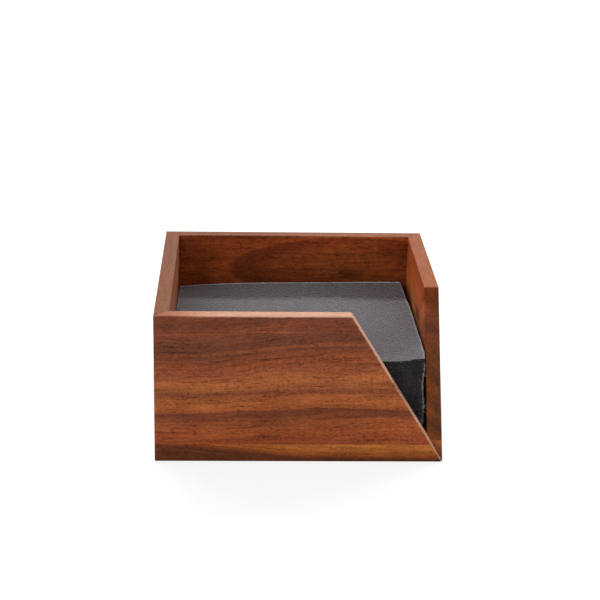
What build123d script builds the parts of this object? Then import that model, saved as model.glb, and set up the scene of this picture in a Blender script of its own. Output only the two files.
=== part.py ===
from build123d import *
import os

# Napkin box: four mitred walls round a grooved-in floor, one corner cut away for the
# hand, with a stack of paper napkins folded in four. Millimetres, +Z up.
# The origin is under the middle of the box, on the table. The front is towards -Y.

# Box
box_width = 190.5  # outside, left to right
box_depth = 190.5  # outside, front to back
box_height = 101.6
wall = 10.0  # thickness of the wall boards
notch_run = 62.5  # length of each slant, along the top of its wall
notch_top_radius = 2.5  # of the corner where a slant meets the top edge
notch_foot_radius = 1.0  # of the corner where it runs out at the foot
stave_height = 12.3  # lower stave of every wall, up to the glue line
arris = 0.6  # radius of the sanded edges

# Floor
floor_thickness = 5.0
floor_lift = 3.5  # the floor's underside above the table
groove_depth = 3.5  # groove round the inside of the walls
floor_gap = 0.4  # room at the bottom of the groove for the wood to move
groove_gap = 0.1  # room over the floor in its groove
floor_staves = ("front", "middle", "back")

# Loose tongues in the full-height mitres
spline_width = 8.0  # across the joint, half in each board
spline_thickness = 2.5
spline_setback = 8.5  # from the outer corner along the mitre, to the tongue's middle
spline_stop = 12.0  # ends this far under the top edge
spline_foot_gap = 2.5  # starts this far above the glue line

# Napkins
napkin_room = 4.2  # free space in front of the stack and to its right
napkin_clearance = 0.3  # paper to wood, and the top napkin to the stack
napkin_pitch = 1.4  # thickness of one folded napkin in the stack
napkin_leaf = 0.25  # two layers of tissue pressed together
napkin_count = 40  # in the stack under the top one

# Sizes that follow
inner_width = box_width - 2 * wall
inner_depth = box_depth - 2 * wall
floor_top = floor_lift + floor_thickness
floor_width = inner_width + 2 * (groove_depth - floor_gap)
floor_depth = inner_depth + 2 * (groove_depth - floor_gap)
spline_foot = stave_height + spline_foot_gap
spline_length = box_height - spline_stop - spline_foot
napkin_width = inner_width - napkin_room - napkin_clearance
napkin_depth = inner_depth - napkin_room - napkin_clearance
napkin_left = -inner_width / 2 + napkin_clearance
napkin_front = -inner_depth / 2 + napkin_room
stack_foot = floor_top + napkin_clearance
stack_top = stack_foot + napkin_count * napkin_pitch
glue_line = Plane.XY.offset(stave_height)

# The mitred corners that stand full height: (side in X, side in Y)
tall_corners = {"front_left": (-1, -1), "back_left": (-1, 1), "back_right": (1, 1)}


def spline_sketch(corner):
    """Plan of one tongue, square to the mitre of its corner."""
    side_x, side_y = tall_corners[corner]
    inward = spline_setback / 2**0.5
    x = side_x * (box_width / 2 - inward)
    y = side_y * (box_depth / 2 - inward)
    with BuildSketch(Plane.XY.offset(spline_foot)) as plan:
        with Locations((x, y)):
            Rectangle(spline_width, spline_thickness, rotation=-45 * side_x * side_y)
    return plan.sketch


def wall_blank(face, length, run_left=0.0, run_right=0.0):
    """One wall with its board and stave glued up, drawn on its outer face as seen from outside."""
    with BuildPart() as blank:
        with BuildSketch(face) as outline:
            with BuildLine():
                Polyline(
                    (-length / 2, 0),
                    (length / 2, 0),
                    (length / 2 - run_right, box_height),
                    (-length / 2 + run_left, box_height),
                    close=True,
                )
            make_face()
            # the corners of a slant are rounded over
            for run, end in ((run_left, 0), (run_right, -1)):
                if run:
                    for level, radius in ((-1, notch_top_radius), (0, notch_foot_radius)):
                        row = outline.vertices().group_by(Axis.Y)[level]
                        fillet(row.sort_by(Axis.X)[end], radius=radius)
        extrude(amount=-wall)
        across = Axis(face.origin, face.z_dir)
        outer = blank.faces().sort_by(across)[-1]
        inner = blank.faces().sort_by(across)[0]
        fillet(outer.edges() + inner.edges(), radius=arris)
        # mitres, through the outer corners at 45 degrees
        for end in (-1, 1):
            corner = face.from_local_coords((end * length / 2, 0, 0))
            mitre = Plane(origin=corner, z_dir=face.z_dir - face.x_dir * end)
            split(bisect_by=mitre, keep=Keep.TOP)
        # groove for the floor
        with BuildSketch(Plane.XY.offset(floor_lift)):
            Rectangle(inner_width + 2 * groove_depth, inner_depth + 2 * groove_depth)
        extrude(amount=floor_thickness + groove_gap, mode=Mode.SUBTRACT)
        # slots for the tongues
        for name in tall_corners:
            extrude(spline_sketch(name), amount=spline_length, mode=Mode.SUBTRACT)
    return blank.part


def folded_napkin(foot):
    """A napkin folded in four, lying on the level foot with its fold to the front."""
    radius = napkin_pitch / 2
    fold = (napkin_front + radius, foot + radius)
    with BuildPart() as napkin:
        with BuildSketch(Plane.YZ.offset(napkin_left)):
            with Locations(fold):
                Circle(radius)
                Rectangle(napkin_depth - radius, 2 * radius, align=(Align.MIN, Align.CENTER))
                Circle(radius - napkin_leaf, mode=Mode.SUBTRACT)
                Rectangle(
                    napkin_depth - radius,
                    2 * (radius - napkin_leaf),
                    align=(Align.MIN, Align.CENTER),
                    mode=Mode.SUBTRACT,
                )
        extrude(amount=napkin_width)
    return napkin.part


def write(part, name):
    part.label = name
    export_step(part, f"parts/{name}.step")


os.makedirs("parts", exist_ok=True)

# Walls: each is drawn as seen from outside, and the slants meet at the front right corner
walls = {
    "front": wall_blank(Plane.front.offset(box_depth / 2), box_width, run_right=notch_run),
    "right": wall_blank(Plane.right.offset(box_width / 2), box_depth, run_left=notch_run),
    "back": wall_blank(Plane.back.offset(box_depth / 2), box_width),
    "left": wall_blank(Plane.left.offset(box_width / 2), box_depth),
}
for side, blank in walls.items():
    with BuildPart() as board:
        add(blank)
        split(bisect_by=glue_line, keep=Keep.TOP)
    write(board.part, f"{side}_wall_board")
    with BuildPart() as stave:
        add(blank)
        split(bisect_by=glue_line, keep=Keep.BOTTOM)
    write(stave.part, f"{side}_wall_stave")

# Floor: staves side by side, grain from left to right, lying on the bottom of the groove
floor_stave_depth = floor_depth / len(floor_staves)
for i, place in enumerate(floor_staves):
    middle = -floor_depth / 2 + (i + 0.5) * floor_stave_depth
    with BuildPart() as floor_stave:
        with BuildSketch(Plane.XY.offset(floor_lift)):
            with Locations((0, middle)):
                Rectangle(floor_width, floor_stave_depth)
        extrude(amount=floor_thickness)
    write(floor_stave.part, f"floor_stave_{place}")

# Loose tongues
for name in tall_corners:
    with BuildPart() as spline:
        extrude(spline_sketch(name), amount=spline_length)
    write(spline.part, f"spline_{name}")

# Napkins: the stack is one solid for each napkin, each lying on the one below
levels = [stack_foot + i * napkin_pitch for i in range(napkin_count)]
write(Compound(children=[folded_napkin(level) for level in levels]), "napkin_stack")
write(folded_napkin(stack_top + napkin_clearance), "top_napkin")
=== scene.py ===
import functools
import math
import bpy
import numpy as np
from mathutils import Matrix, Vector


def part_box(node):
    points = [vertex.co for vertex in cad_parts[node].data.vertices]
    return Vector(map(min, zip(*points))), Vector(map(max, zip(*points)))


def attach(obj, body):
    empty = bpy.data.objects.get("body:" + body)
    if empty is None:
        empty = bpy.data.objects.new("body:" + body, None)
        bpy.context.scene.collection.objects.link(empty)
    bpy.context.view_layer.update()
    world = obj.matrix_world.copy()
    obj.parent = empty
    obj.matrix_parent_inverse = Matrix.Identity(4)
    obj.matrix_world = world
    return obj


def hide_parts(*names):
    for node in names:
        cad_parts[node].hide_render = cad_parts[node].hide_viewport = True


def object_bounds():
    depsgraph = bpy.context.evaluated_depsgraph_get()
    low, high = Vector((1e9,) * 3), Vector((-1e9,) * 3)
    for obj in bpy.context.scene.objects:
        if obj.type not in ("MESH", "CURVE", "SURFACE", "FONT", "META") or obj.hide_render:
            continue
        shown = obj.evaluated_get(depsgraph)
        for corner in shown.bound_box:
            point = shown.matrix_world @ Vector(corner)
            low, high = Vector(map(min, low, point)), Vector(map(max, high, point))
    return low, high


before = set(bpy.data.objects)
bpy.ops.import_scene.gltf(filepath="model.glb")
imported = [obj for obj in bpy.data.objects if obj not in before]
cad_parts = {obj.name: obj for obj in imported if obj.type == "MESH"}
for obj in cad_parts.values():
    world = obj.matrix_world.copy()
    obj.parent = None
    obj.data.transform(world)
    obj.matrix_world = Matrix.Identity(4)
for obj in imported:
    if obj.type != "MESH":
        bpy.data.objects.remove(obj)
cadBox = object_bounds()
mm = 0.001
print("frame loaded")

# sizes read from the frame, in millimetres
boxWidth = (cadBox[1].x - cadBox[0].x) / mm
boxDepth = (cadBox[1].y - cadBox[0].y) / mm
boxHeight = (cadBox[1].z - cadBox[0].z) / mm
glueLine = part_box("front_wall_stave")[1].z / mm
wallThickness = (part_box("back_wall_board")[1].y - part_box("back_wall_board")[0].y) / mm
# the slant runs straight from the bottom corner, so its run follows from where it crosses the glue line
notchRun = (boxWidth / 2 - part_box("front_wall_board")[1].x / mm) * boxHeight / glueLine
stackLow, stackHigh = (np.array(corner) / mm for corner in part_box("napkin_stack"))
topLow, topHigh = (np.array(corner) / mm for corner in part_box("top_napkin"))


def toLinear(hexColour):
    # sRGB hex to the linear values that shaders take
    rgb = np.array([int(hexColour[i:i + 2], 16) for i in (1, 3, 5)]) / 255
    linear = np.where(rgb <= 0.04045, rgb / 12.92, ((rgb + 0.055) / 1.055) ** 2.4)
    return (*linear.tolist(), 1.0)


def addNode(tree, kind, inputs=None, **settings):
    # adds one node: an input that is given a node or a socket is linked, any other value is set
    node = tree.nodes.new(kind)
    for name, value in settings.items():
        setattr(node, name, value)
    for socket, value in (inputs or {}).items():
        if isinstance(value, bpy.types.Node):
            value = next(output for output in value.outputs if output.enabled)
        if isinstance(value, bpy.types.NodeSocket):
            tree.links.new(value, node.inputs[socket])
        else:
            node.inputs[socket].default_value = value
    return node


def newMaterial(name):
    material = bpy.data.materials.new(name)
    material.use_nodes = True
    material.node_tree.nodes.clear()
    return material, functools.partial(addNode, material.node_tree)


def newPiece(name, points, faces):
    # an object at the origin, with its place in its mesh: points are in millimetres
    mesh = bpy.data.meshes.new(name)
    mesh.from_pydata((points.reshape(-1, 3) * mm).tolist(), [], faces)
    piece = bpy.data.objects.new(name, mesh)
    bpy.context.scene.collection.objects.link(piece)
    return piece


def setRamp(node, stops, span):
    # stops are (place, hex) along a ramp that is span long
    ramp = node.color_ramp
    while len(ramp.elements) < len(stops):
        ramp.elements.new(0.5)
    for element, (place, colour) in zip(ramp.elements, sorted(stops)):
        element.position = place / span
        element.color = toLinear(colour)


# camera, fitted to the edges of the box in the picture
camera = {
    "place": (-0.03852, -1.09083, 0.45458),
    "yaw": 2.1412,  # degrees, to the right
    "pitch": 18.9234,  # degrees, down
    "roll": 1.0507,
    "focalPixels": 1646.75,
    "picturePixels": 600,
    "sensor": 36.0,
}


def makeCamera(c):
    yaw, pitch, roll = (math.radians(c[k]) for k in ("yaw", "pitch", "roll"))
    forward = Vector((math.sin(yaw) * math.cos(pitch), math.cos(yaw) * math.cos(pitch), -math.sin(pitch)))
    level = Vector((math.cos(yaw), -math.sin(yaw), 0))
    upright = level.cross(forward)
    right = level * math.cos(roll) + upright * math.sin(roll)
    up = upright * math.cos(roll) - level * math.sin(roll)
    data = bpy.data.cameras.new("camera")
    data.sensor_width = c["sensor"]
    data.lens = c["focalPixels"] / c["picturePixels"] * c["sensor"]
    data.clip_start = 0.01
    holder = bpy.data.objects.new("camera", data)
    turn = Matrix((right, up, -forward)).transposed().to_4x4()
    holder.matrix_world = Matrix.Translation(c["place"]) @ turn
    bpy.context.scene.collection.objects.link(holder)
    bpy.context.scene.camera = holder


makeCamera(camera)
print("camera placed")

# Oiled acacia boards. Each one is drawn in its own millimetres: along the grain from its middle, in
# from its outer face, and up from the table (across the grain, in the floor).
# bands: colours across the growth rings, by height
# drift: how far the rings climb along the board: from and to, the climb low down and high up
# tilt: how steeply the rings cross the thickness
# wave: how far they bend and ripple
# pores, lines, glint: how strong the pores, hair lines and painted glints are
# patches: soft ovals, lighter or darker than the rest, under the face that is seen most, which is
#     the front wall's outer one and the others' inner one: place along and up, half sizes, and
#     what they multiply by
# cutEdgeAndHighlight: the cut wood's colours at two places along the board, these places, and its strength.
# On the front board it is sanded wood and a painted highlight, light caught at a low angle, growing paler
# to the right
# outerTone: what the outer face is multiplied by. The side and back boards' bands, matched on their inner
# faces, hold painted shade and warm bounce light from inside the box; this takes them off the outer face
boards = {
    "front_wall_board": {
        "side": "front",
        "bands": [
            (12, "#8c4424"), (18, "#944b27"), (24, "#8f4b28"), (28, "#7d4125"), (33.2, "#6a3722"),
            (34.6, "#8f4c28"), (38.5, "#9f582d"), (44, "#92502c"), (47, "#80442a"), (49.5, "#985730"),
            (54.0, "#a05b32"), (60, "#8f4c2d"), (67, "#854527"), (72.5, "#733e29"), (74, "#8a4c2e"),
            (76.5, "#693927"), (82, "#6c3a27"), (90, "#7a4028"), (95.5, "#683725"), (101, "#7e4227"),
        ],
        "drift": (-80, 15, -3.8, -8.0),
        "tilt": 0.25,
        "wave": (6.0, 2.2),
        "seed": 3.1,
        "pores": 0.9,
        "lines": 1.4,
        "glint": 0.5,
        "patches": [
            (-60, 92, 22, 6, 0.9), (-90, 97, 12, 8, 0.76), (-72, 74, 40, 5, 0.79), (34, 74, 18, 4, 1.22),
            (-84, 50, 16, 6, 0.79), (-20, 51, 28, 4, 1.2), (-50, 36, 26, 4.5, 1.27), (60, 28, 38, 5, 1.22),
            (-20, 91, 24, 0.5, 1.8), (-10.5, 92.5, 0.4, 4.5, 1.6),  # two light scratches
        ],
        # sanded wood, and a painted highlight that grows paler to the right, on the top edge and the slant
        "cutEdgeAndHighlight": ("#925c44", "#c0947b", -92, -45, 0.87),
    },
    "front_wall_stave": {
        "side": "front",
        "bands": [
            (0, "#562a16"), (7, "#5f3019"), (11, "#6b361d"), (13, "#8d471f"), (15, "#a25a25"),
            (20, "#ac6630"),
        ],
        "drift": (-90, 25, 9.5, 9.5),
        "tilt": 0.2,
        "wave": (4.0, 1.6),
        "seed": 7.7,
        "pores": 0.7,
        "glint": 0.4,
        "patches": [(60, 0, 70, 4.5, 0.68), (-30, 3, 40, 6, 0.84), (50, 2, 90, 7, 0.78)],
        # sanded wood, and a painted highlight, on the slant
        "cutEdgeAndHighlight": ("#c0947b", "#c0947b", -92, -45, 0.87),
    },
    "right_wall_board": {
        "side": "right",
        "bands": [
            (4, "#945628"), (11, "#84481f"), (17, "#60351c"), (24, "#814922"), (29, "#6a3b1e"),
            (37, "#874a20"), (45, "#764120"), (53, "#8c4f24"), (60, "#7a4223"), (67, "#874626"),
            (74, "#7a4026"), (80, "#9a5530"), (86, "#a3572f"), (92, "#95481f"), (97, "#94451c"),
            (102, "#9b481a"), (112, "#8f4216"),
        ],
        "drift": (-50, -12, 20.0, 20.0),
        "tilt": -0.75,
        "wave": (7.0, 2.5),
        "seed": 12.4,
        "pores": 0.4,
        "glint": 0.4,
        "patches": [
            (-1, 70.5, 22, 6.5, 0.3), (-68, 42, 22, 28, 1.5), (5, 84.5, 62, 7, 1.33),
            (85, 77, 45, 16, 1.85),
        ],
        "cutEdgeAndHighlight": ("#8d543a", "#87533a", -40, 60, 0.8),
        "outerTone": (0.8, 0.98, 1.15),
        # what the slanted end is multiplied by, below and above: end grain, which drinks more oil, and
        # painted shade that deepens towards the top
        "endShade": ((0.8, 0.72, 0.68), (0.5, 0.46, 0.45)),
    },
    "right_wall_stave": {
        "side": "right",
        "bands": [(-8, "#54301a"), (3, "#603519"), (9, "#945428"), (14, "#9a5a2a")],
        "drift": (-90, 90, 1.0, 1.0),
        "tilt": -0.5,
        "wave": (3.0, 1.5),
        "seed": 15.2,
        "pores": 0.4,
        "glint": 0.4,
    },
    "back_wall_board": {
        "side": "back",
        "bands": [
            (0, "#6f3113"), (28, "#863d17"), (41, "#8a4018"), (46, "#672c10"), (62, "#6a2e12"),
            (80, "#783817"), (100, "#803d18"), (141, "#86421b"),
        ],
        "oval": (-40.0, 82.0, 86.0, 24.0),  # a knot's eye in the rings: its middle and half sizes
        "drift": (-90, 90, 0.0, 0.0),
        "tilt": 0.6,
        "wave": (6.0, 2.5),
        "seed": 21.9,
        "pores": 0.5,
        "glint": 1.0,
        "patches": [
            (-42, 73, 13, 7, 0.55), (-15, 90, 36, 10, 1.25), (-84, 84, 9, 12, 0.8),
            # the first one here is painted shade: the back wall darker low down, near the napkins, all
            # across
            (-10, 64, 110, 15, 0.66), (-42, 97, 58, 8, 1.75), (62, 82, 16, 12, 0.88),
            (82, 78, 12, 28, 1.6), (55, 96, 30, 5, 1.25),
        ],
        "cutEdgeAndHighlight": ("#7d523c", "#744b38", -40, 60, 0.85),
        "outerTone": (0.74, 0.92, 1.25),
    },
    "back_wall_stave": {
        "side": "back",
        "bands": [(0, "#442c1f"), (6, "#5f3925"), (14, "#74482c")],
        "drift": (-90, 90, 2.0, 2.0),
        "tilt": 0.3,
        "wave": (3.0, 1.5),
        "seed": 26.3,
        "pores": 0.5,
        "glint": 0.4,
    },
    "left_wall_board": {
        "side": "left",
        "bands": [
            (10, "#7a4024"), (20, "#8c4826"), (30, "#6a371e"), (38, "#89492a"), (50, "#96522a"),
            (58, "#763e24"), (70, "#8a4f31"), (78, "#77402d"), (84, "#8b4f33"), (93, "#945639"),
            (101, "#834e36"),
        ],
        "drift": (-90, 90, 5.0, 2.0),
        "tilt": 0.5,
        "wave": (6.0, 2.0),
        "seed": 33.8,
        "pores": 0.5,
        "glint": 0.5,
        "cutEdgeAndHighlight": ("#70462e", "#734830", -40, 60, 0.85),
        "outerTone": (0.82, 0.92, 1.1),
        # along the inner side of its top edge: from and to, and how far its sides wander
        "greyStreak": (6.0, 8.6, "#6e4d39", 6.0),
    },
    "left_wall_stave": {
        "side": "left",
        "bands": [(0, "#4a2f1e"), (7, "#714226"), (14, "#86522e")],
        "drift": (-90, 90, 4.0, 4.0),
        "tilt": 0.3,
        "wave": (3.0, 1.5),
        "seed": 38.1,
        "pores": 0.5,
        "glint": 0.4,
    },
}
for place, seed in (("front", 44.0), ("middle", 49.5), ("back", 53.2)):
    boards[f"floor_stave_{place}"] = {
        "side": "floor",
        "bands": [
            (-90, "#7e4525"), (-45, "#92542c"), (-20, "#713e21"), (10, "#9a5928"), (50, "#804624"),
            (90, "#8b5029"),
        ],
        "drift": (-90, 90, 6.0, 6.0),
        "tilt": 1.4,
        "wave": (9.0, 3.0),
        "seed": seed,
        "pores": 0.6,
        "glint": 0.4,
    }

# what all boards have in common, in millimetres
acacia = {
    # patterns in the wood: length along the grain and width across it, and detail of the noise
    "patterns": {
        "bend": (80, 17, 2.0),
        "ripple": (15, 4.5, 2.0),
        "streak": (55, 2.0, 3.0),
        "hair": (42, 0.9, 1.0),  # drawn twice as wide as it is, to show
        "pore": (3.6, 0.7, 0.0),  # a real pore is 0.2 wide, and is drawn as coarse as it needs to show
        "cloud": (20, 8, 2.0),
        "glint": (5.0, 1.5, 1.0),  # painted glints: short light dashes where the fibres dip and rise and catch the light
        "fleck": (1.9, 0.9, 1.0),
    },
    # where in their noise hair lines and pores start, and where they are full
    "sparse": {"hair": (0.55, 0.70), "pore": (0.57, 0.74)},
    # what each pattern adds to red, green and blue: hair lines and pores only darken
    "tints": {
        "streak": (1.05, 1.15, 1.15),
        "cloud": (0.6, 0.7, 0.6),
        "fleck": (1.1, 1.2, 1.2),
        "glint": (1.0, 1.0, 1.0),
        "hair": (-0.24, -0.28, -0.28),
        "pore": (-0.34, -0.38, -0.38),
    },
    "middleTint": 1.045,  # where all light patterns are at their middle and no dark one shows
    "darkestTint": 0.2,
    "climbHeights": (45, 75),  # the rings climb by drift's low amount below and its high one above
    "ovalRings": (141, 45),  # ring heights in a knot's eye: at its middle and at its edge
    "knotDepths": (1, 8),  # the eye shows from the second on, and isn't there up to the first
    "patchDepth": 6,  # half a patch's size into the wood
    "patchFade": (0.2, 1.2),  # in half sizes: where a patch starts to fade and where it has gone
    "patchWobble": 1.2,  # in half heights: how much its outline follows the ripples
    "toneDepths": (0.5, 8),  # outerTone is full up to the first and gone from the second on
    "shadeHeights": (66, 86),  # endShade is the first colour below and the second one above
    "edgeDepths": (0.3, 0.8),  # cut wood shows up to the first, and the face from the second on
    "cutTint": 0.6,  # how much of the tint the pale cut edges keep
    "roughness": (0.48, 0.64),
    "cutRoughness": 0.3,  # what the cut top edge adds to it
    "relief": 0.15,  # of the bump
}

# each side's turn about Z, which brings its grain to X and its outer face to -Y, and how far that
# face is from the middle of the box
sides = {
    "front": (0, boxDepth / 2),
    "right": (-90, boxWidth / 2),
    "back": (180, boxDepth / 2),
    "left": (90, boxWidth / 2),
    "floor": (0, 0),
}


def boardSpace(add, side):
    # where a point is in its board: along the grain, in from the outer face, and up
    turn, faceToMiddle = sides[side]
    turned = add(
        "ShaderNodeMapping",
        {"Vector": add("ShaderNodeTexCoord").outputs["Object"], "Scale": (1 / mm, 1 / mm, 1 / mm),
         "Rotation": (0, 0, math.radians(turn)), "Location": (0, faceToMiddle, 0)},
    )
    along, depth, height = add("ShaderNodeSeparateXYZ", {"Vector": turned}).outputs
    if side == "floor":
        depth, height = height, depth
    return turned, along, depth, height


def grainPattern(add, pattern, vector, seed):
    # one pattern of the wood: noise from 0 to 1, stretched along the grain
    length, width, detail = acacia["patterns"][pattern]
    spot = add(
        "ShaderNodeMapping",
        {"Vector": vector, "Scale": (1 / length, 1 / width, 1 / width),
         "Location": (seed + length, 1.7 * seed + width, 0.6 * seed)},
    )
    return add("ShaderNodeTexNoise", {"Vector": spot, "Scale": 1.0, "Detail": detail, "Roughness": 0.6})


def growthRings(add, board, space):
    # Height across the growth rings, and the noise of every pattern. The rings lean with depth, climb
    # along the board, and bend and ripple. The finer patterns follow them.
    turned, along, depth, height = space
    start, end, climbLow, climbHigh = board["drift"]
    share = add(
        "ShaderNodeMapRange", {"Value": along, "From Min": start, "From Max": end},
        interpolation_type="SMOOTHSTEP",
    )
    low, high = acacia["climbHeights"]
    climb = add(
        "ShaderNodeMapRange",
        {"Value": height, "From Min": low, "From Max": high, "To Min": climbLow, "To Max": climbHigh},
        interpolation_type="SMOOTHSTEP",
    )
    ring = add("ShaderNodeMath", {0: depth, 1: board["tilt"], 2: height}, operation="MULTIPLY_ADD")
    ring = add("ShaderNodeMath", {0: share, 1: climb, 2: ring}, operation="MULTIPLY_ADD")
    noise = {}
    for pattern, reach in zip(("bend", "ripple"), board["wave"]):
        noise[pattern] = grainPattern(add, pattern, turned, board["seed"])
        centred = add("ShaderNodeMath", {0: noise[pattern], 1: 0.5}, operation="SUBTRACT")
        ring = add("ShaderNodeMath", {0: centred, 1: reach, 2: ring}, operation="MULTIPLY_ADD")
    followed = add("ShaderNodeCombineXYZ", {"X": along, "Y": depth, "Z": ring})
    for pattern in acacia["patterns"]:
        if pattern not in noise:
            noise[pattern] = grainPattern(add, pattern, followed, board["seed"])
    for pattern, (low, high) in acacia["sparse"].items():
        noise[pattern] = add(
            "ShaderNodeMapRange", {"Value": noise[pattern], "From Min": low, "From Max": high},
            interpolation_type="SMOOTHSTEP",
        )
    if "oval" in board:
        # the rings close round a knot's eye, which doesn't go through to the outer face
        middle, level, halfLength, halfHeight = board["oval"]
        spot = add("ShaderNodeCombineXYZ", {"X": along, "Y": ring})
        spot = add("ShaderNodeVectorMath", {0: spot, 1: (middle, level, 0)}, operation="SUBTRACT")
        spot = add("ShaderNodeVectorMath", {0: spot, 1: (halfLength, halfHeight, 1)}, operation="DIVIDE")
        reach = add("ShaderNodeVectorMath", {0: spot}, operation="LENGTH").outputs["Value"]
        inner, outer = acacia["ovalRings"]
        closed = add("ShaderNodeMath", {0: reach, 1: outer - inner, 2: inner}, operation="MULTIPLY_ADD")
        low, high = acacia["knotDepths"]
        share = add("ShaderNodeMapRange", {"Value": depth, "From Min": low, "From Max": high})
        ring = add("ShaderNodeMix", {"Factor": share, 2: ring, 3: closed})
    return ring, noise


def grainTint(add, board, noise):
    # what the patterns multiply the colour by: the sum of each one's noise times its tint, which
    # starts so far down that it comes to the middle tint
    strengths = {"glint": board["glint"], "hair": board.get("lines", 1.0), "pore": board["pores"]}
    tints = {name: np.array(tint) * strengths.get(name, 1.0) for name, tint in acacia["tints"].items()}
    light = sum(tint for name, tint in tints.items() if name not in acacia["sparse"])
    total = tuple(acacia["middleTint"] - light / 2)
    for name, tint in tints.items():
        step = {0: noise[name], 1: tuple(tint), 2: total}
        total = add("ShaderNodeVectorMath", step, operation="MULTIPLY_ADD")
    darkest = (acacia["darkestTint"],) * 3
    return add("ShaderNodeVectorMath", {0: total, 1: darkest}, operation="MAXIMUM")


def addPatches(add, board, space, ripple, tint):
    # the tint times that of each patch: how far a point is from the patch's middle is measured in
    # the patch's half sizes, and the ripples make its outline wander
    along, depth, height = space[1:]
    seenDepth = 0 if board["side"] == "front" else wallThickness
    here = add("ShaderNodeCombineXYZ", {"X": along, "Y": height, "Z": depth})
    centred = add("ShaderNodeMath", {0: ripple, 1: 0.5}, operation="SUBTRACT")
    wobble = add("ShaderNodeMath", {0: centred, 1: acacia["patchWobble"]}, operation="MULTIPLY")
    wobble = add("ShaderNodeCombineXYZ", {"Y": wobble})
    full, gone = acacia["patchFade"]
    for placeAlong, placeUp, halfLength, halfHeight, strength in board.get("patches", []):
        middle = (placeAlong, placeUp, seenDepth)
        halfSize = (halfLength, halfHeight, acacia["patchDepth"])
        spot = add("ShaderNodeVectorMath", {0: here, 1: middle}, operation="SUBTRACT")
        spot = add("ShaderNodeVectorMath", {0: spot, 1: halfSize}, operation="DIVIDE")
        spot = add("ShaderNodeVectorMath", {0: spot, 1: wobble}, operation="ADD")
        reach = add("ShaderNodeVectorMath", {0: spot}, operation="LENGTH").outputs["Value"]
        share = add(
            "ShaderNodeMapRange",
            {"Value": reach, "From Min": full, "From Max": gone, "To Min": strength, "To Max": 1.0},
            interpolation_type="SMOOTHSTEP",
        )
        tint = add("ShaderNodeVectorMath", {0: tint, "Scale": share}, operation="SCALE")
    return tint


def nearTop(add, height):
    # how near a point is to the cut top edge, from 0 in the board to 1 on the edge
    full, gone = acacia["edgeDepths"]
    low, high = boxHeight - gone, boxHeight - full
    return add("ShaderNodeMapRange", {"Value": height, "From Min": low, "From Max": high})


def nearSlant(add, side, along, height):
    # how near a point is to the slant, which starts at the bottom corner, from 0 to 1: a point's
    # distance from it is the part of its place along the board and up that is square to the slant
    full, gone = acacia["edgeDepths"]
    slope = math.hypot(boxHeight, notchRun)
    lean = (-boxHeight if side == "front" else boxHeight) / slope
    corner = boxWidth / 2 * boxHeight / slope
    inside = add("ShaderNodeMath", {0: along, 1: lean, 2: corner}, operation="MULTIPLY_ADD")
    inside = add("ShaderNodeMath", {0: height, 1: -notchRun / slope, 2: inside}, operation="MULTIPLY_ADD")
    return add(
        "ShaderNodeMapRange",
        {"Value": inside, "From Min": full, "From Max": gone, "To Min": 1, "To Max": 0},
    )


def paleCutAndHighlight(add, board, space, streak, tint):
    # colour of the cut top edge and of the front slant, which were sanded after the oil, and on the front
    # board a painted highlight of light caught at a low angle: it keeps a share of the grain's tint
    _, along, depth, _ = space
    firstHex, nextHex, start, end, _ = board["cutEdgeAndHighlight"]
    share = add(
        "ShaderNodeMapRange", {"Value": along, "From Min": start, "From Max": end},
        interpolation_type="SMOOTHSTEP",
    )
    colours = {6: toLinear(firstHex), 7: toLinear(nextHex)}
    pale = add("ShaderNodeMix", {"Factor": share, **colours}, data_type="RGBA")
    if "greyStreak" in board:
        start, end, greyHex, swing = board["greyStreak"]
        wander = add("ShaderNodeMath", {0: streak, 1: swing, 2: depth}, operation="MULTIPLY_ADD")
        into, out = (
            add("ShaderNodeMapRange", {"Value": wander, "From Min": limit - 1, "From Max": limit + 1})
            for limit in (start + swing / 2, end + swing / 2)
        )
        share = add("ShaderNodeMath", {0: into, 1: out}, operation="SUBTRACT")
        pale = add("ShaderNodeMix", {"Factor": share, 6: pale, 7: toLinear(greyHex)}, data_type="RGBA")
    kept, plain = (acacia["cutTint"],) * 3, (1 - acacia["cutTint"],) * 3
    calm = add("ShaderNodeVectorMath", {0: tint, 1: kept, 2: plain}, operation="MULTIPLY_ADD")
    return add("ShaderNodeVectorMath", {0: pale, 1: calm}, operation="MULTIPLY")


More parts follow.
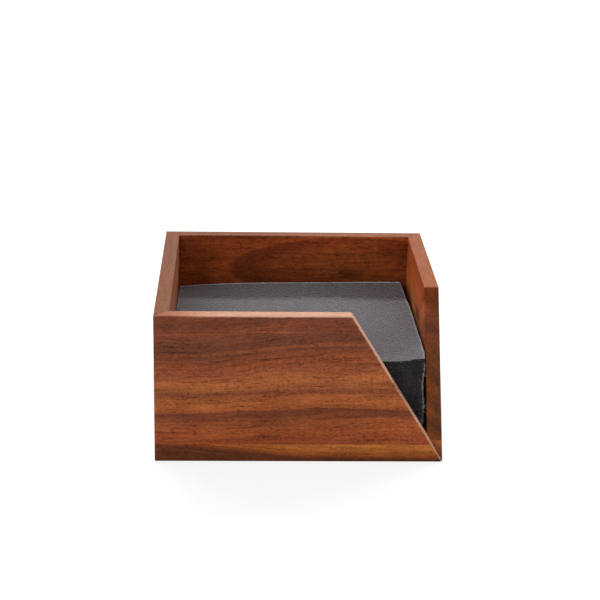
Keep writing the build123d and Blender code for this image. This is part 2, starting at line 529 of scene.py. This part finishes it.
def oiledAcacia(name, board):
    # Acacia, planed, sanded and rubbed with oil: growth bands that run the length of the board with
    # fine streaks and hair lines in them, short open pores that look like dashes, and a low satin gloss.
    # A Mix node's sockets 6 and 7 are its two colours.
    material, add = newMaterial(name)
    white = (1, 1, 1, 1)
    space = boardSpace(add, board["side"])
    _, along, depth, height = space
    ring, noise = growthRings(add, board, space)
    low, high = board["bands"][0][0], board["bands"][-1][0]
    share = add("ShaderNodeMapRange", {"Value": ring, "From Min": low, "From Max": high})
    bands = add("ShaderNodeValToRGB", {"Fac": share})
    setRamp(bands, [(level - low, colour) for level, colour in board["bands"]], high - low)
    tint = grainTint(add, board, noise)
    tint = addPatches(add, board, space, noise["ripple"], tint)
    colour = add("ShaderNodeVectorMath", {0: bands, 1: tint}, operation="MULTIPLY")
    # the inner face keeps the painted shade and warm bounce light of the inside of the box
    if "outerTone" in board:
        low, high = acacia["toneDepths"]
        share = add("ShaderNodeMapRange", {"Value": depth, "From Min": low, "From Max": high})
        tone = (*board["outerTone"], 1)
        tone = add("ShaderNodeMix", {"Factor": share, 6: tone, 7: white}, data_type="RGBA")
        colour = add("ShaderNodeVectorMath", {0: colour, 1: tone}, operation="MULTIPLY")
    # painted shade on the slanted end, deeper towards the top, with the darker end grain
    if "endShade" in board:
        below, above = board["endShade"]
        low, high = acacia["shadeHeights"]
        share = add(
            "ShaderNodeMapRange", {"Value": height, "From Min": low, "From Max": high},
            interpolation_type="SMOOTHSTEP",
        )
        shade = add("ShaderNodeMix", {"Factor": share, 6: (*below, 1), 7: (*above, 1)}, data_type="RGBA")
        slant = nearSlant(add, board["side"], along, height)
        shade = add("ShaderNodeMix", {"Factor": slant, 6: white, 7: shade}, data_type="RGBA")
        colour = add("ShaderNodeVectorMath", {0: colour, 1: shade}, operation="MULTIPLY")
    smooth, dull = acacia["roughness"]
    rough = add(
        "ShaderNodeMapRange",
        {"Value": noise["streak"], "From Min": 0.3, "From Max": 0.7, "To Min": smooth, "To Max": dull},
    )
    if "cutEdgeAndHighlight" in board:
        edge = nearTop(add, height)
        cut = edge
        if board["side"] == "front":
            slant = nearSlant(add, board["side"], along, height)
            cut = add("ShaderNodeMath", {0: edge, 1: slant}, operation="MAXIMUM")
        share = add("ShaderNodeMath", {0: cut, 1: board["cutEdgeAndHighlight"][-1]}, operation="MULTIPLY")
        pale = paleCutAndHighlight(add, board, space, noise["streak"], tint)
        colour = add("ShaderNodeMix", {"Factor": share, 6: colour, 7: pale}, data_type="RGBA")
        # cut wood drinks the oil and is duller
        duller = {0: edge, 1: acacia["cutRoughness"], 2: rough}
        rough = add("ShaderNodeMath", duller, operation="MULTIPLY_ADD")

    relief = add("ShaderNodeMath", {0: noise["pore"], 1: -1.0, 2: noise["fleck"]}, operation="MULTIPLY_ADD")
    bump = add("ShaderNodeBump", {"Height": relief, "Strength": 0.3, "Distance": acacia["relief"] * mm})
    shader = add(
        "ShaderNodeBsdfPrincipled",
        {"Base Color": colour, "Roughness": rough, "Normal": bump, "IOR": 1.47, "Specular IOR Level": 0.12},
    )
    add("ShaderNodeOutputMaterial", {"Surface": shader})
    return material


finishes = {name: oiledAcacia(name.replace("_", " ") + " acacia", board) for name, board in boards.items()}
# the tongues inside the mitres are beech with no oil on it: the same grain in paler bands
beech = {**boards["left_wall_stave"], "bands": [(0, "#b98b62"), (101, "#c69a70")], "pores": 0.3}
beechTongue = oiledAcacia("beech tongue", beech)
for corner in ("front_left", "back_left", "back_right"):
    finishes[f"spline_{corner}"] = beechTongue
for name, finish in finishes.items():
    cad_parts[name].data.materials.clear()
    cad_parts[name].data.materials.append(finish)
print("wood finished")

# paper napkins, folded in four, in millimetres
napkins = {
    "count": 41,  # with the one on top
    "dyeHexes": ("#050404", "#2c2628"),  # the dark and the light of its clouds
    "bloomHex": "#dad6db",  # the loose fibres on it, which show at a low angle
    "grain": (1.2, 1.6, 1.2),  # size of its pits and flecks, a little coarser than real, so that they show
    "relief": 0.5,  # of the bump
    "pressedRelief": 0.2,  # how much of that folds and cut edges have
    "tissue": 0.12,  # thickness of one layer
    "squareness": 0.32,  # of a pressed fold; 1 would be half a circle
    "pileGrid": (34, 14),  # points across and along one layer of a napkin
    "topGrid": (90, 90),
    "seed": 11,
    "slip": (0.12, 0.25),  # how far a napkin's edges lie off the pile's, usually and at most
    "edgeWave": 0.3,
    "edgeReach": (25, 40),  # how far in from its front and right edges a napkin moves with them
    "settle": 0.5,  # how far the pile has settled all over
    "backSag": 4.1,  # how far its back left corner sinks more
    "backReach": 50,  # how far from the back edge that starts
    "cornerLift": 2.0,  # how far the front right corner of the top stands up
    "cornerReach": (9, 34),  # how far across and along that goes
    "swell": 0.35,
    "sideBulge": 1.6,  # how far the right edges stand out in the middle
    "lean": (0.85, 0.6, 30, 40),  # how far they stand out in front: mean, swing, a top and the period
    "leanTurn": 1.6,  # at the back they stand in, by this less 1 of that
}


def tissuePaper():
    # Dyed airlaid tissue: a matt black sheet with fine pits and a grey bloom of loose fibres, which is
    # the shader's sheen
    material, add = newMaterial("black tissue paper")
    coords = add("ShaderNodeTexCoord").outputs["Object"]
    scale = tuple(1 / (size * mm) for size in napkins["grain"])
    grain = add("ShaderNodeMapping", {"Vector": coords, "Scale": scale})
    pits = add("ShaderNodeTexVoronoi", {"Vector": grain, "Scale": 1.0, "Randomness": 0.8})
    fleck = add("ShaderNodeTexNoise", {"Vector": grain, "Scale": 1.0, "Detail": 2.0, "Roughness": 0.75})
    cloud = add("ShaderNodeTexNoise", {"Vector": coords, "Scale": 1 / (11 * mm), "Detail": 3.0})
    tone = add("ShaderNodeMath", {0: cloud, 1: 0.8, 2: fleck}, operation="MULTIPLY_ADD")
    tone = add("ShaderNodeMapRange", {"Value": tone, "From Min": 0.7, "From Max": 1.1})
    dye = add("ShaderNodeValToRGB", {"Fac": tone})
    setRamp(dye, list(enumerate(napkins["dyeHexes"])), 1)
    relief = add("ShaderNodeMath", {0: pits, 1: 0.6, 2: fleck}, operation="MULTIPLY_ADD")
    pressed = add("ShaderNodeAttribute", attribute_name="pressed").outputs["Fac"]
    least = napkins["pressedRelief"]
    strength = add("ShaderNodeMapRange", {"Value": pressed, "To Min": 1.0, "To Max": least})
    distance = napkins["relief"] * mm
    bump = add("ShaderNodeBump", {"Height": relief, "Strength": strength, "Distance": distance})
    shader = add(
        "ShaderNodeBsdfPrincipled",
        {"Base Color": dye, "Roughness": 0.8, "Normal": bump, "Specular IOR Level": 0.2,
         "Sheen Weight": 1.0, "Sheen Roughness": 0.34, "Sheen Tint": toLinear(napkins["bloomHex"])},
    )
    add("ShaderNodeOutputMaterial", {"Surface": shader})
    return material


def smoothStep(value, low, high):
    # 0 up to low, 1 from high on, and a cubic between them
    t = np.clip((value - low) / (high - low), 0, 1)
    return t * t * (3 - 2 * t)


def stackTop(x, y):
    # Height of the top of the pile over its nominal level. It sinks by a smooth step towards the back
    # times a power of the way to the left, its front right corner curls up in a bell curve, and a
    # product of two sines makes a slow swell all over.
    back = smoothStep(y, stackHigh[1] - napkins["backReach"], stackHigh[1] + 4)
    left = np.clip((stackHigh[0] - x) / (stackHigh[0] - stackLow[0]), 0, 1)
    sag = -napkins["settle"] - napkins["backSag"] * left ** 2.8 * back
    reachX, reachY = napkins["cornerReach"]
    bell = np.exp(-((x - stackHigh[0]) / reachX) ** 2 - ((y - stackLow[1]) / reachY) ** 2)
    swell = napkins["swell"] * np.sin(x / 19 + 0.8) * np.sin(y / 23 + 0.3)
    return sag + napkins["cornerLift"] * bell + swell


def cornerLean(z):
    # the pile wasn't knocked square: its front right edge wanders with the height, as a cosine
    mean, swing, top, period = napkins["lean"]
    return mean + swing * np.cos(2 * np.pi * (z - top) / period)


def rightEdge(along, z, bulge):
    # How far the right edge stands out, at a share of the way from the front to the back: it bulges
    # by a power of half a sine, and leans by a straight line.
    along = np.clip(along, 0, 1)
    return bulge * np.sin(np.pi * along) ** 0.7 + cornerLean(z) * (1 - napkins["leanTurn"] * along)


def foldedNapkin(name, level, share, grid, rng):
    # A square sheet folded in four, as a function of two parameters. s runs across the sheet: from the
    # right edge to the fold on the left on the outer layer, and back on the inner one. t runs along it:
    # from the back edge to the fold in front below, and back above. The distance from the middle plane
    # is 1.5 gaps on the outer layer and 0.5 on the inner one, and each fold is half a turn. share is
    # how much the napkin takes of the shape of the pile's top. Its front and right edges slip, and
    # wave by two sines each.
    across, deep = grid
    gap = (topHigh[2] - topLow[2]) / 4
    width = stackHigh[0] - stackLow[0]
    depth = stackHigh[1] - stackLow[1]
    turn = np.linspace(0, np.pi, 6)[1:-1]
    outer = np.linspace(1, 0, across) * (width - gap) + gap
    x = np.concatenate([outer, gap - 0.5 * gap * np.sin(turn), outer[::-1]])
    far = np.concatenate([np.full(across, 1.5), 1.0 + 0.5 * np.cos(turn), np.full(across, 0.5)]) * gap
    bend = np.linspace(0, np.pi, 10)[1:-1]
    reach = np.linspace(1, 0, deep) ** 1.3 * (depth - 1.5 * gap)  # closer together near the fold
    y = np.concatenate([reach, np.zeros(len(bend)), reach[::-1]]) + 1.5 * gap
    angle = np.concatenate([np.zeros(deep), bend, np.full(deep, np.pi)])
    s = np.broadcast_to(x[:, None], (len(x), len(y)))
    t = y[None, :] - far[:, None] * np.sin(angle) ** napkins["squareness"]
    z = -far[:, None] * np.sign(np.cos(angle)) * np.abs(np.cos(angle)) ** napkins["squareness"]
    # its place in the pile
    usual, most = napkins["slip"]
    slipX, slipY = rng.normal(0, usual, 2).clip(-most, most)
    phase = rng.normal(0, 0.5, 4)
    reachFront, reachRight = napkins["edgeReach"]
    front = 1 - smoothStep(t, 0, reachFront)
    right = smoothStep(s, width - reachRight, width)
    wave = napkins["edgeWave"]
    px = stackLow[0] + s + right * (slipX + rightEdge(t / depth, level, napkins["sideBulge"] * share))
    py = stackLow[1] + t + front * slipY
    py = py + front * wave * (0.6 * np.sin(px / 13 + phase[0]) + 0.3 * np.sin(px / 5.2 + phase[1]))
    px = px + right * wave * (0.6 * np.sin(py / 11 + phase[2]) + 0.3 * np.sin(py / 4.1 + phase[3]))
    pz = level + z + share * stackTop(px, py)
    index = np.arange(pz.size).reshape(pz.shape)
    quads = np.stack([index[:-1, :-1], index[1:, :-1], index[1:, 1:], index[:-1, 1:]], -1).reshape(-1, 4)
    piece = newPiece(name, np.stack([px, py, pz], -1), quads.tolist())
    piece.data.polygons.foreach_set("use_smooth", np.ones(len(quads), bool))
    # folds and cut edges are pressed and show no grain
    pressed = np.broadcast_to(np.sin(angle) > 0.01, s.shape).astype(float)
    pressed[across:across + len(turn)] = 1
    pressed[[0, -1]] = 1
    pressed[:, [0, -1]] = 1
    piece.data.attributes.new("pressed", "FLOAT", "POINT").data.foreach_set("value", pressed.ravel())
    solid = piece.modifiers.new("tissue", "SOLIDIFY")
    solid.thickness = napkins["tissue"] * mm
    solid.offset = 0
    return piece


tissue = tissuePaper()
rng = np.random.default_rng(napkins["seed"])
napkinPitch = (topHigh[2] - stackLow[2]) / napkins["count"]
for i in range(napkins["count"]):
    top = i == napkins["count"] - 1
    name = "top_napkin_sheet" if top else f"napkin_{i + 1:02d}"
    level = stackLow[2] + (i + 0.5) * napkinPitch
    grid = napkins["topGrid" if top else "pileGrid"]
    piece = foldedNapkin(name, level, (i + 1) / napkins["count"], grid, rng)
    piece.data.materials.append(tissue)
    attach(piece, "next_napkin" if top else "napkins")
    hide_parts("top_napkin" if top else "napkin_stack")
print("napkins folded:", napkins["count"])

# loose fibres along the cut edges of the napkins, in millimetres
lint = {
    "hexes": ("#777374", "#b9b5b6"),  # the dark and the light of its clouds
    "radius": 0.08,  # about four times that of a real fibre, so that it shows
    "shortest": 1.0,
    "longest": 3.2,
    "edgeCount": 150,  # up the front right edge of the pile
    "topCount": 48,  # along the edges of the top napkin, a quarter of them in front
    "topReach": (60, 120),  # how far they go from its front right corner, in front and on the right
    "stray": (1.4, 33.0, 3.4),  # the one that stands out: how far from the corner, height and length
    "seed": 5,
}


def fibres(name, starts, headings, lengths, rng):
    # Each fibre is a bent thread with three sides, closed at both ends: its middle line leaves the
    # start along the heading and curls by a quadratic share of a random vector, in 4 runs.
    count, rings = len(starts), 5
    share = np.linspace(0, 1, rings)[None, :, None]
    curl = rng.normal(0, 0.35, (count, 1, 3))
    heading = headings / np.linalg.norm(headings, axis=1, keepdims=True)
    line = starts[:, None, :] + lengths[:, None, None] * (heading[:, None, :] * share + curl * share ** 2)
    side = np.cross(heading, rng.normal(0, 1, (count, 3)))
    side /= np.linalg.norm(side, axis=1, keepdims=True)
    other = np.cross(heading, side)
    angle = np.arange(3) * 2 * np.pi / 3
    cosine, sine = np.cos(angle)[None, :, None], np.sin(angle)[None, :, None]
    spoke = side[:, None, :] * cosine + other[:, None, :] * sine
    taper = np.array([0.5, 1, 1, 0.8, 0.3])[None, :, None, None]
    points = line[:, :, None, :] + spoke[:, None, :, :] * taper * lint["radius"]
    index = np.arange(count * rings * 3).reshape(count, rings, 3)
    nextIndex = np.roll(index, -1, axis=2)
    quads = np.stack([index[:, :-1], nextIndex[:, :-1], nextIndex[:, 1:], index[:, 1:]], -1).reshape(-1, 4)
    caps = np.concatenate([index[:, 0, ::-1], index[:, -1]])
    return newPiece(name, points, quads.tolist() + caps.tolist())


def backlitFibre():
    # paper fibre, dull: its off-white is painted backlight, the light from behind that the fibres catch
    material, add = newMaterial("paper fibre painted backlit")
    coords = add("ShaderNodeTexCoord").outputs["Object"]
    fade = add("ShaderNodeTexNoise", {"Vector": coords, "Scale": 1 / (2 * mm)})
    tone = add("ShaderNodeValToRGB", {"Fac": fade})
    setRamp(tone, list(zip((0.3, 0.7), lint["hexes"])), 1)
    shader = add(
        "ShaderNodeBsdfPrincipled", {"Base Color": tone, "Roughness": 0.9, "Specular IOR Level": 0.2},
    )
    add("ShaderNodeOutputMaterial", {"Surface": shader})
    return material


rng = np.random.default_rng(lint["seed"])
pale = backlitFibre()
cornerX, cornerY = stackHigh[0], stackLow[1]
count = lint["edgeCount"]
height = rng.uniform(stackLow[2] + 2, topLow[2], count)
x = cornerX + cornerLean(height) + rng.normal(0, 0.1, count)
y = cornerY + rng.normal(-0.05, 0.1, count)
starts = np.stack([x, y, height], -1)
outward = rng.normal(0.1, 0.2, count)
forward = rng.normal(-0.08, 0.15, count)
upOrDown = rng.choice([-1.0, 1.0], count)
headings = np.stack([outward, forward, upOrDown], -1)
lengths = rng.uniform(lint["shortest"], lint["longest"], count)
strayOut, strayHeight, lengths[0] = lint["stray"]
starts[0] = cornerX + strayOut, cornerY, strayHeight
headings[0] = 1, -0.1, -0.2
stackFibres = fibres("stack_edge_fibres", starts, headings, lengths, rng)

count = lint["topCount"]
reachFront, reachRight = lint["topReach"]
inFront = np.arange(count) < count // 4
x = np.where(inFront, rng.uniform(cornerX - reachFront, cornerX, count), cornerX)
y = np.where(inFront, cornerY, rng.uniform(cornerY, cornerY + reachRight, count))
height = topHigh[2] - 0.3 + stackTop(x, y)
x = x + rightEdge((y - cornerY) / (stackHigh[1] - cornerY), topLow[2], napkins["sideBulge"])
starts = np.stack([x + rng.normal(0, 0.1, count), y + rng.normal(0, 0.1, count), height], -1)
rise = rng.normal(-0.1, 0.1, count)
headings = np.stack([np.where(inFront, 1.0, 0.15), np.where(inFront, -0.15, 1.0), rise], -1)
lengths = rng.uniform(lint["shortest"], lint["longest"], count)
topFibres = fibres("top_edge_fibres", starts, headings, lengths, rng)
for piece, body in ((stackFibres, "napkins"), (topFibres, "next_napkin")):
    piece.data.materials.append(pale)
    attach(piece, body)
print("fibres added")

# floor and light
studio = {
    "floorReach": 8000,  # millimetres from its middle to its edge
    "floorHex": "#dcdad7",
    "seenShade": "#8a8a8a",  # how much of the object's shadow the camera sees
    "glow": 0.78,  # what the floor adds for the camera
    "sky": 0.62,
    "lamps": [
        # name, place and size in metres, and power
        ("window strip", (0.1, 3.0, 2.7), (8.0, 0.5), 310.0),
        ("front fill", (-2.2, -4.0, 2.6), (3.0, 2.0), 66.0),
    ],
}


def seenRays(add):
    # 1 for rays that show a surface to the camera, straight or in a gloss, and 0 for those that light
    path = add("ShaderNodeLightPath").outputs
    seen = add("ShaderNodeMath", {0: path["Is Camera Ray"], 1: path["Is Glossy Ray"]}, operation="MAXIMUM")
    return add("ShaderNodeMath", {0: seen, 1: path["Is Transmission Ray"]}, operation="MAXIMUM")


def makeStudio(s):
    scene = bpy.context.scene
    world = bpy.data.worlds.new("studio")
    scene.world = world
    world.use_nodes = True
    world.node_tree.nodes.clear()
    add = functools.partial(addNode, world.node_tree)
    strength = add("ShaderNodeMapRange", {"Value": seenRays(add), "To Min": s["sky"], "To Max": 1.0})
    sky = add("ShaderNodeBackground", {"Color": (1, 1, 1, 1), "Strength": strength})
    add("ShaderNodeOutputWorld", {"Surface": sky})

    corners = s["floorReach"] * np.array([(-1, -1, 0), (1, -1, 0), (1, 1, 0), (-1, 1, 0)])
    floor = newPiece("floor", corners, [(0, 1, 2, 3)])
    # pale floor: it lights the object as it is, and shows the camera a white with the shadow in it
    material, add = newMaterial("pale floor")
    seen = seenRays(add)
    tone = add(
        "ShaderNodeMix", {"Factor": seen, 6: toLinear(s["floorHex"]), 7: toLinear(s["seenShade"])},
        data_type="RGBA",
    )
    lit = add("ShaderNodeBsdfDiffuse", {"Color": tone})
    power = add("ShaderNodeMath", {0: seen, 1: s["glow"]}, operation="MULTIPLY")
    glow = add("ShaderNodeEmission", {"Color": (1, 1, 1, 1), "Strength": power})
    add("ShaderNodeOutputMaterial", {"Surface": add("ShaderNodeAddShader", {0: lit, 1: glow})})
    floor.data.materials.append(material)

    for name, place, (width, tall), watts in s["lamps"]:
        lamp = bpy.data.lights.new(name, "AREA")
        lamp.shape = "RECTANGLE"
        lamp.size = width
        lamp.size_y = tall
        lamp.energy = watts
        holder = bpy.data.objects.new(name, lamp)
        holder.location = place
        aim = Vector((0, 0, 0.06)) - Vector(place)
        holder.rotation_euler = aim.to_track_quat("-Z", "Y").to_euler()
        scene.collection.objects.link(holder)


makeStudio(studio)
bpy.context.scene.view_settings.view_transform = "Standard"
print("studio lit")
